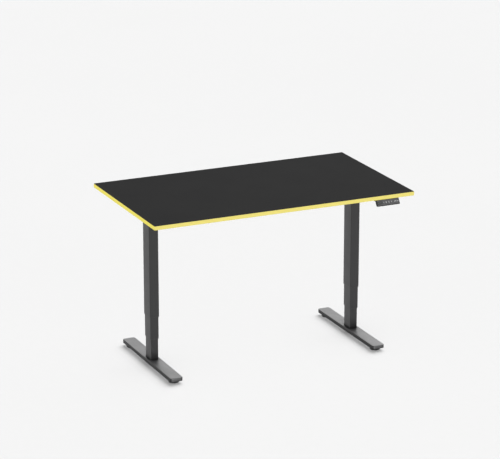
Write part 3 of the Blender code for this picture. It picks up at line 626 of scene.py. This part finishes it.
def foot(side):
    """A folded steel foot, open below, with a boss for each glide and the bolts up into the column."""
    low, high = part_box(f"{side}_foot_beam")
    size = high - low
    ceiling = high.z - FOOT_SHEET
    outline = [(FOOT_SHEET, ceiling), (FOOT_SHEET, low.z + EASE), (FOOT_SHEET - EASE, low.z)]
    outline += [(EASE, low.z), (0, low.z + EASE)]
    outline += [(FOOT_EDGE + u, high.z - FOOT_EDGE + v) for u, v in arc((0, 0), FOOT_EDGE, 180, 90, 6)]
    tray = loft(inset_loops(size, FOOT_CORNER, outline, 12))
    centre = middle(f"{side}_foot_beam")
    place = Matrix.Translation((centre.x, centre.y, 0))
    boss = 0.0090
    bore = 0.0043
    rim = 0.0005
    boss_low = low.z + 0.0006
    profile = (
        (boss, ceiling + 0.0005),
        (boss, boss_low + rim),
        (boss - rim, boss_low),
        (bore + rim, boss_low),
        (bore, boss_low + rim),
        (bore, ceiling - 0.001),
    )
    bosses = [moved(turned(profile), Matrix.Translation((0, y, 0))) for y in (-GLIDE_Y, GLIDE_Y)]
    body = f"{side}_base"
    replaced = [f"{side}_foot_beam"]
    mesh = merge([tray, *bosses])
    piece(f"{side}_foot", mesh, "graphite_coat", body, replaced, place, material=FOOT_COAT_DEEP_SHADE)
    bolts = [moved(socket_screw(*FOOT_BOLT), Matrix.Translation((x, y, ceiling))) for x, y in BOLT_PLACES]
    piece(f"{side}_foot_bolts", merge(bolts), "bare_steel", body, (), place, material=ZINC)


def glide(side, end):
    """A levelling glide: a fluted plastic pad on a threaded stud."""
    low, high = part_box(f"{side}_{end}_glide")
    radius = (high.x - low.x) / 2
    steps = 72
    depth = 0.0004
    loops = []
    rows = [(radius - 0.0012, 0.0, 0), (radius - 0.0003, 0.0004, 0), (radius, 0.0012, depth)]
    rows += [(radius, 0.0060, depth), (radius - 0.0006, 0.0072, depth)]
    rows += [(radius - 0.0028, 0.0092, 0), (radius - 0.0045, 0.0097, 0)]
    for size, z, flute in rows:
        loop = []
        for step in range(steps):
            angle = FULL_TURN * step / steps
            reach = size - (flute if step % 3 == 0 else 0)
            loop.append(Vector((reach * math.cos(angle), reach * math.sin(angle), low.z + z)))
        loops.append(loop)
    for size, z in ((0.0115, 0.0100), (0.0085, 0.0102), (0.0080, 0.0106), (0.0080, 0.0140)):
        loops.append(circle(size, low.z + z, steps))
    pad = loft(loops)
    stud = turned(threaded(STUD_RADIUS, 0.0006, 0.00125, low.z + 0.0135, high.z), 24)
    centre = middle(f"{side}_{end}_glide")
    place = Matrix.Translation((centre.x, centre.y, 0))
    body = f"{side}_{end}_foot_glide"
    piece(f"{side}_{end}_glide_pad", pad, "glide_plastic", body, [f"{side}_{end}_glide"], place)
    piece(f"{side}_{end}_glide_stud", stud, "bare_steel", body, (), place, material=ZINC)


def guide_bushes(side):
    """The slide bushes whose thin lips show under the larger stages."""
    rows = (("middle_guide", "inner_tube", MIDDLE_CORNER - LIP_INSET, f"{side}_middle"),)
    rows += (("outer_guide", "middle_tube", OUTER_CORNER - LIP_INSET, "carriage"),)
    for name, inside, corner, body in rows:
        low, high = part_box(f"{side}_{name}")
        inner = size_of(f"{side}_{inside}")
        bore = [inner[axis] + 2 * GAP for axis in (0, 1)]
        lip = [high[axis] - low[axis] for axis in (0, 1)]
        face = [width - 2 * EASE for width in lip]
        skin = [width + 2 * LIP_INSET - 2 * WALL - 2 * GAP for width in lip]
        shoulder = low.z + LIP
        loops = [
            rounded_rectangle(*bore, corner - LIP_INSET, low.z, CORNER_STEPS),
            rounded_rectangle(*face, corner - EASE, low.z, CORNER_STEPS),
            rounded_rectangle(*lip, corner, low.z + EASE, CORNER_STEPS),
            rounded_rectangle(*lip, corner, shoulder, CORNER_STEPS),
            rounded_rectangle(*skin, corner - LIP_INSET, shoulder, CORNER_STEPS),
            rounded_rectangle(*skin, corner - LIP_INSET, high.z, CORNER_STEPS),
            rounded_rectangle(*bore, corner - LIP_INSET, high.z, CORNER_STEPS),
        ]
        mesh = loft(loops, closed=True)
        piece(f"{side}_{name}_bush", mesh, "slide_plastic", body, [f"{side}_{name}"], column_place(side))


# Drive


def spindles(side):
    """The solid screw and the hollow screw of a column, with their threads drawn in."""
    place = column_place(side)
    low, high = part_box(f"{side}_spindle")
    journal = 0.0050
    thread_high = high.z - 0.018
    rows = threaded((high.x - low.x) / 2, 0.0009, 0.0040, low.z, thread_high)
    rows += [(journal, thread_high + 0.0005), (journal, high.z)]
    piece(f"{side}_screw", turned(rows), "bare_steel", f"{side}_spindle_unit", [f"{side}_spindle"], place)
    low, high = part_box(f"{side}_hollow_spindle")
    bore = 0.0067
    collar = 0.0140
    collar_low = high.z - 0.0043
    rows = threaded(0.0100, 0.0010, 0.0040, low.z, collar_low - 0.001)
    rows += [(collar, collar_low), (collar, high.z), (bore, high.z), (bore, low.z)]
    body = f"{side}_hollow_spindle_unit"
    replaced = [f"{side}_hollow_spindle"]
    piece(f"{side}_hollow_screw", turned_ring(rows), "bare_steel", body, replaced, place)


def worm_wheel(side):
    """The moulded wheel that the worm turns, with its teeth, and its hub."""
    low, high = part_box(f"{side}_worm_wheel")
    teeth = 20
    steps = 6 * teeth
    gap_depth = 0.0013
    bore = 0.0058
    hub_height = 0.003
    rim = low.z + 0.002
    loops = [circle(bore, z, steps) for z in (rim, high.z)]
    for z, radius in ((high.z, 0.0148), (low.z + 0.009, 0.0141), (rim, 0.0148)):
        loop = []
        for step in range(steps):
            angle = FULL_TURN * step / steps
            reach = radius - (gap_depth if step % 6 < 3 else 0.0)
            loop.append(Vector((reach * math.cos(angle), reach * math.sin(angle), z)))
        loops.append(loop)
    wheel = loft(loops, closed=True)
    outline = ((bore, low.z), (0.0088, low.z), (0.0088, low.z + hub_height), (bore, low.z + hub_height))
    mesh = merge([wheel, turned_ring(outline)])
    body = f"{side}_spindle_unit"
    piece(f"{side}_gear", mesh, "slide_plastic", body, [f"{side}_worm_wheel"], column_place(side))


def worm(side, sign):
    """The worm on the motor's shaft, its thread drawn in, pointing inwards."""
    low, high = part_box(f"{side}_worm")
    start = low.x if sign > 0 else high.x
    length = high.x - low.x
    shaft = 0.0035
    rows = [(shaft, 0.0), (shaft, 0.006)]
    rows += threaded(0.0050, 0.0014, 0.0030, 0.0065, length - 0.006)
    rows += [(shaft, length - 0.0055), (shaft, length)]
    turn = Matrix.Rotation(sign * math.pi / 2, 4, "Y")
    centre = middle(f"{side}_worm")
    mesh = moved(turned(rows), Matrix.Translation((start, centre.y, centre.z)) @ turn)
    piece(f"{side}_worm_screw", mesh, "bare_steel", f"{side}_worm_shaft", [f"{side}_worm"])


def motor(side, sign):
    """The motor can: a flanged steel tube with a moulded end cap and a lead outlet."""
    low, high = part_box(f"{side}_motor")
    length = high.x - low.x
    radius = (high.z - low.z) / 2
    start = low.x if sign < 0 else high.x
    centre = middle(f"{side}_motor")
    turn = Matrix.Rotation(-sign * math.pi / 2, 4, "Y")
    place = Matrix.Translation((start, centre.y, centre.z)) @ turn
    barrel = radius - 0.0010
    groove = radius - 0.0014
    cap = radius - 0.0025
    rows = [(0.0120, 0.0), (radius - 0.0005, 0.0), (radius, 0.0005), (radius, 0.0055)]
    rows += [(radius - 0.0005, 0.0060), (barrel, 0.0066)]
    for z in (0.018, 0.066):
        rows += [(barrel, z), (groove, z + 0.0006), (groove, z + 0.0018), (barrel, z + 0.0024)]
    rows += [(barrel, length - 0.0125), (radius - 0.0015, length - 0.0120), (cap, length - 0.0120)]
    rows += [(cap, length - 0.0015), (cap - 0.0010, length - 0.0005), (0.006, length - 0.0003)]
    piece(f"{side}_motor_can", turned(rows, 64), "graphite_coat", "carriage", [f"{side}_motor"], place)
    outline = ((0.0050, -0.0005), (0.0050, 0.004), (0.0042, 0.006), (0.0036, 0.012), (0.0030, 0.0125))
    end = place @ Matrix.Translation((0, 0, length))
    piece(f"{side}_lead_collar", turned(outline), "slide_plastic", "carriage", (), end)


# Frame under the desktop


def rails():
    """The two cross rails, with their rims eased."""
    for name in ("front_rail", "rear_rail"):
        low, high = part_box(name)
        centre = middle(name)
        size = (high.z - low.z, high.y - low.y)
        half = (high.x - low.x) / 2
        place = Matrix.Translation(centre) @ Matrix.Rotation(math.pi / 2, 4, "Y")
        mesh = section_ring(size, RAIL_CORNER, pipe_outline(-half, half))
        piece(f"{name}_bar", mesh, "graphite_coat", "carriage", [name], place)


def fixings(side, sign):
    """The screws that hold the bracket and the motor cover up to the desktop."""
    axis = column_place(side).translation.x
    places = [(axis + x, y) for x, y in BRACKET_PLACES]
    screws(f"{side}_bracket_screws", places, UNDERSIDE - GAP - BRACKET_SHEET, BRACKET_SCREW)
    places = [(axis - sign * x, y) for x, y in COVER_PLACES]
    screws(f"{side}_cover_screws", places, UNDERSIDE - GAP - COVER_SHEET, COVER_SCREW)


def control_box():
    """The box's own shapes with rounded edges, the ribs under its tray, its screws and its contacts."""
    for name, width in (
        ("control_box", 0.0006),
        ("control_box_plate", 0.0005),
        ("mains_inlet", 0.0004),
        ("control_board", 0.0003),
    ):
        refined(name, width)
    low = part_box("control_box")[0]
    centre = middle("control_box")
    rib_size = (0.0022, 0.050, 0.0016)
    count = 12
    spacing = 0.0065
    ribs = []
    for row in range(count):
        rib = soften(block(rib_size), 0.0007)
        x = centre.x + (row - (count - 1) / 2) * spacing
        ribs.append(moved(rib, Matrix.Translation((x, centre.y, low.z + 0.0001))))
    piece("control_box_ribs", merge(ribs), "housing_plastic", "carriage")
    places = [(centre.x + x, centre.y + y) for x, y in PLATE_PLACES]
    screws("plate_screws", places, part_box("control_box_plate")[0].z, PLATE_SCREW)
    inlet = middle("mains_inlet")
    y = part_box("mains_inlet")[1].y - 0.0095
    contact_size = (0.0020, 0.0130, 0.0040)
    contacts = []
    for x, z in ((-0.007, -0.002), (0.0, 0.002), (0.007, -0.002)):
        contact = soften(block(contact_size), 0.0004)
        contacts.append(moved(contact, Matrix.Translation((inlet.x + x, y, inlet.z + z))))
    piece("inlet_contacts", merge(contacts), "bare_steel", "carriage")


# Handset


def face_frame():
    """The handset face's frame: X along the desk, Y up the face, Z out of it."""
    low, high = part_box("handset_shell")
    top = Vector((0, FACE_TOP_Y, high.z))
    bottom = Vector((0, FACE_LOW_Y, UNDERSIDE - FACE_DROP))
    across = Vector((1, 0, 0))
    up = (top - bottom).normalized()
    place = Matrix((across, up, across.cross(up))).transposed().to_4x4()
    centre = (top + bottom) / 2
    centre.x = (low.x + high.x) / 2
    place.translation = centre
    return place


def stroke(start, end, width):
    """A flat printed bar with rounded ends, from start to end."""
    start, end = Vector((*start, 0)), Vector((*end, 0))
    along = end - start
    heading = math.atan2(along.y, along.x)
    steps = 6
    loops = []
    for z in (0.0, PRINT_HEIGHT):
        loop = []
        for centre, turn in ((end, -math.pi / 2), (start, math.pi / 2)):
            for step in range(steps + 1):
                angle = heading + turn + math.pi * step / steps
                rim = Vector((math.cos(angle), math.sin(angle), 0)) * width / 2
                loop.append(centre + rim + Vector((0, 0, z)))
        loops.append(loop)
    return loft(loops)


def strokes(lines, width, scale, place):
    """Printed strokes joining the points of each line, whose unit is scale metres."""
    made = []
    for line in lines:
        for start, end in zip(line, line[1:]):
            ends = [tuple(scale * value for value in point) for point in (start, end)]
            made.append(stroke(*ends, width))
    return moved(merge(made), place)


SEGMENTS = {
    "top": ((-0.5, 1.0), (0.5, 1.0)),
    "middle": ((-0.5, 0.0), (0.5, 0.0)),
    "bottom": ((-0.5, -1.0), (0.5, -1.0)),
    "upper_left": ((-0.5, 1.0), (-0.5, 0.0)),
    "upper_right": ((0.5, 1.0), (0.5, 0.0)),
    "lower_left": ((-0.5, 0.0), (-0.5, -1.0)),
    "lower_right": ((0.5, 0.0), (0.5, -1.0)),
}
DIGITS = {
    1: ("upper_right", "lower_right"),
    2: ("top", "upper_right", "middle", "lower_left", "bottom"),
    3: ("top", "upper_right", "middle", "lower_right", "bottom"),
    4: ("upper_left", "middle", "upper_right", "lower_right"),
    5: ("top", "upper_left", "middle", "lower_right", "bottom"),
    8: tuple(SEGMENTS),
}


def digit_lines(value, x=0.0):
    """The strokes of a digit, its middle at x."""
    return [[(u + x, v) for u, v in SEGMENTS[name]] for name in DIGITS[value]]


def button_marks():
    """Each button's mark, as the lines it is printed in and their width."""
    square = [(-0.8, -0.8), (0.8, -0.8), (0.8, 0.8), (-0.8, 0.8), (-0.8, -0.8)]
    tongue = [(-0.3, 0.8), (-0.3, 0.2), (0.3, 0.2), (0.3, 0.8)]
    marks = {f"memory_button_{number}": (digit_lines(number), 0.00125) for number in (1, 2, 3)}
    marks["store_button"] = ([square, tongue], 0.0007)
    marks["up_button"] = ([[(-1.2, -0.55), (0.0, 0.65), (1.2, -0.55)]], 0.0016)
    marks["down_button"] = ([[(-1.2, 0.55), (0.0, -0.65), (1.2, 0.55)]], 0.0016)
    return marks


def handset():
    """The handset's own shapes with rounded edges, the print on its buttons, and the display's digits."""
    refined("handset_shell", 0.0004, smooth=35)
    refined("handset_fascia", 0.0002)
    refined("display_window", 0.0002)
    place = face_frame()
    sunk = PRINT_HEIGHT / 4
    mark_size = 0.0033
    digit_size = 0.0031
    for name, (lines, width) in button_marks().items():
        refined(name, 0.0003)
        at = place.inverted() @ middle(name)
        spot = place @ Matrix.Translation((at.x, 0, CAP_HEIGHT - sunk))
        mesh = strokes(lines, width, mark_size, spot)
        piece(f"{name}_mark", mesh, "button_plastic", f"{name}_cap", material=PRINT)
    at = place.inverted() @ middle("display_window")
    spot = place @ Matrix.Translation((at.x, 0, -GAP - sunk))
    spacing = 2.1
    point = [(1.03, -1.0), (1.07, -1.0)]
    lines = [*digit_lines(8, -spacing), *digit_lines(5), *digit_lines(4, spacing), point]
    mesh = strokes(lines, 0.0007, digit_size, spot)
    piece("display_digits", mesh, "window_plastic", "carriage", material=DIM_PRINT)
    screws("handset_screws", HANDSET_PLACES, UNDERSIDE - SCREW_DROP, HANDSET_SCREW)


# Leads


def leads():
    """The leads, drawn round along their own routes, with their plugs and the clips that hold them up."""
    for name in ("left_motor_lead", "right_motor_lead", "handset_lead"):
        lead = refined(name, 0.0, smooth=180)
        rounding = lead.modifiers.new("rounding", "SUBSURF")
        rounding.levels = 1
        rounding.render_levels = 1
    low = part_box("control_box")[0]
    for index, (x, radius) in enumerate(SOCKETS):
        plug(f"plug_{index}", Vector((x, low.y, low.z + SOCKET_HEIGHT)), radius)
    # Each clip: its X and Y, its lead's radius, and its turn in degrees.
    clips = [(sign * x, MOTOR_LEAD_Y, MOTOR_LEAD, 0) for sign in (-1, 1) for x in (0.300, 0.220)]
    clips += [(0.300, -0.255, HANDSET_LEAD, 0), (0.180, -0.248, HANDSET_LEAD, 0)]
    clips += [(0.0, y, HANDSET_LEAD, 90) for y in (-0.110, 0.0)]
    for index, (x, y, radius, turn) in enumerate(clips):
        clip(f"lead_clip_{index}", x, y, radius, turn)


def plug(name, socket, radius):
    """A moulded plug in a socket of the control box, with a sleeve round its lead."""
    body_size = (0.0150, 0.0100, 0.0098)
    body = soften(block(body_size), 0.0012)
    moved(body, Matrix.Translation(socket - Vector((0, 0.0030, 0))))
    sleeve = turned(((radius + 0.0018, 0.0), (radius + 0.0016, 0.006), (radius + 0.0005, 0.011)))
    lay_down = Matrix.Rotation(math.pi / 2, 4, "X")
    moved(sleeve, Matrix.Translation(socket - Vector((0, 0.0075, 0))) @ lay_down)
    piece(name, merge([body, sleeve]), "cable_jacket", "carriage")


def clip(name, x, y, radius, turn):
    """A moulded saddle clip over a lead, with a screw through its foot."""
    height = UNDERSIDE - LEAD_DROP
    base = UNDERSIDE - GAP - height
    inner = radius + 0.0003
    outer = inner + 0.0013
    tip = outer + 0.0075
    thickness = 0.0016
    half = 0.0040
    outline = [(-inner, base)] + arc((0, 0), inner, 180, 360, 14) + [(inner, base)]
    outline += [(tip, base), (tip, base - thickness), (outer, base - thickness)]
    outline += arc((0, 0), outer, 360, 180, 14) + [(-outer, base)]
    loops = [[Vector((along, u, v)) for u, v in outline] for along in (-half, half)]
    mesh = soften(loft(loops), 0.0003)
    place = Matrix.Translation((x, y, height)) @ Matrix.Rotation(math.radians(turn), 4, "Z")
    piece(name, mesh, "slide_plastic", "carriage", (), place)
    hole = place @ Vector((0, outer + 0.0042, 0))
    screws(f"{name}_screw", [(hole.x, hole.y)], UNDERSIDE - GAP - thickness, CLIP_SCREW)


# Stage


def floor():
    """A plain pale floor, wide enough to fill the view."""
    reach = 60
    mesh = bmesh.new()
    bmesh.ops.create_grid(mesh, x_segments=4, y_segments=4, size=reach)
    data = bpy.data.meshes.new("floor")
    mesh.to_mesh(data)
    mesh.free()
    dark, light = (0.1128, 0.1128, 0.1128), (0.1152, 0.1152, 0.1152)
    data.materials.append(surface("floor_paint", dark, light, (0.8, 0.9), 0.05, 0.0, patch=3.0, specular=0.0))
    thing = bpy.data.objects.new("floor", data)
    bpy.context.scene.collection.objects.link(thing)
    thing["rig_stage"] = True


def sun(name, direction, strength, spread):
    """A far light that shines along direction, softened by its spread in degrees."""
    data = bpy.data.lights.new(name, "SUN")
    data.energy = strength
    data.angle = math.radians(spread)
    thing = bpy.data.objects.new(name, data)
    thing.rotation_euler = Vector(direction).to_track_quat("-Z", "Y").to_euler()
    bpy.context.scene.collection.objects.link(thing)
    return thing


def shining(height, heading):
    """The direction of a light that stands this high in degrees, its heading turned from -X towards -Y."""
    height, heading = math.radians(height), math.radians(heading)
    level = math.cos(height)
    return (-level * math.cos(heading), -level * math.sin(heading), -math.sin(height))


def pieces_with(*words):
    """The pieces that have one of these words in their name."""
    return [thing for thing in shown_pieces() if any(word in thing.name for word in words)]


def group(name, things):
    """A collection of these objects, for a light to be linked to."""
    made = bpy.data.collections.new(name)
    for thing in things:
        made.objects.link(thing)
    return made


def light():
    """A pale surround, with soft lights that each reach only some of the things: for the floor a key from
    the back right that only the feet shade and a fill that nothing shades, for the desk a key from the same
    side, and for the fronts of the feet and of the edging a light each."""
    world = bpy.data.worlds.new("surround")
    world.use_nodes = True
    background = world.node_tree.nodes["Background"]
    background.inputs["Color"].default_value = (1, 1, 1, 1)
    background.inputs["Strength"].default_value = 0.9
    bpy.context.scene.world = world
    ground = group("ground", [bpy.data.objects["floor"]])
    heading = 40
    floor_key = sun("floor_key", shining(46, heading), 19.3, 62)
    floor_key.light_linking.receiver_collection = ground
    floor_key.light_linking.blocker_collection = group("low_pieces", pieces_with("foot", "glide"))
    floor_fill = sun("floor_fill", (0, 0, -1), 8.6, 90)
    floor_fill.light_linking.receiver_collection = ground
    floor_fill.light_linking.blocker_collection = ground
    desk_key = sun("desk_key", shining(52, heading), 4.05, 75)
    shaded = pieces_with("handset", "button", "display", "edging")
    lit = [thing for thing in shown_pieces() if thing not in shaded]
    desk_key.light_linking.receiver_collection = group("desk", lit)
    foot_front = sun("foot_front", (0, 1, 0), 16.0, 10)
    feet = [bpy.data.objects[f"{side}_foot"] for side, _ in SIDES]
    foot_front.light_linking.receiver_collection = group("feet", feet)
    cool_front = sun("cool_front", (0, 1, 0), 4.6, 60)
    cool_front.data.color = (0.045, 0.045, 1)
    cool_front.light_linking.receiver_collection = group("edging", [bpy.data.objects["edging_strip"]])


def camera():
    """A long lens, from the front left and above."""
    look_down = 17.466
    turned_right = 24.70
    data = bpy.data.cameras.new("camera")
    data.lens = 173.23
    data.sensor_width = 36
    data.clip_end = 200
    thing = bpy.data.objects.new("camera", data)
    thing.location = (-4.843, -10.492, 4.269)
    thing.rotation_euler = (math.radians(90 - look_down), 0, math.radians(-turned_right))
    bpy.context.scene.collection.objects.link(thing)
    bpy.context.scene.camera = thing
    bpy.context.scene.view_settings.view_transform = "Standard"


def leave_the_floor_light():
    """Only the lowest pieces cast shadows and hold back the room's light, so that the floor darkens just
    round the feet."""
    low_things = pieces_with("foot", "glide", "fixed")
    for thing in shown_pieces():
        if thing not in low_things:
            thing.visible_shadow = False
            thing.visible_diffuse = False


def main():
    """Builds the whole scene, piece by piece, and lights it."""
    floor()
    camera()
    edge_band()
    for side, sign in SIDES:
        fixed_stage(side)
        middle_stage(side)
        top_stage(side)
        guide_bushes(side)
        foot(side)
        for end in ("front", "rear"):
            glide(side, end)
        for name in ("inner_cap", "middle_cap", "lower_nut", "upper_nut", "side_bracket", "motor_cover"):
            refined(f"{side}_{name}", 0.0004)
        refined(f"{side}_gearbox", 0.0010)
        spindles(side)
        worm_wheel(side)
        worm(side, sign)
        motor(side, sign)
        fixings(side, sign)
    rails()
    control_box()
    handset()
    leads()
    for name, thing in NODES.items():
        thing.material_slots[0].material = FINISH[SLOT_OF[name]]
    leave_the_floor_light()
    light()


main()
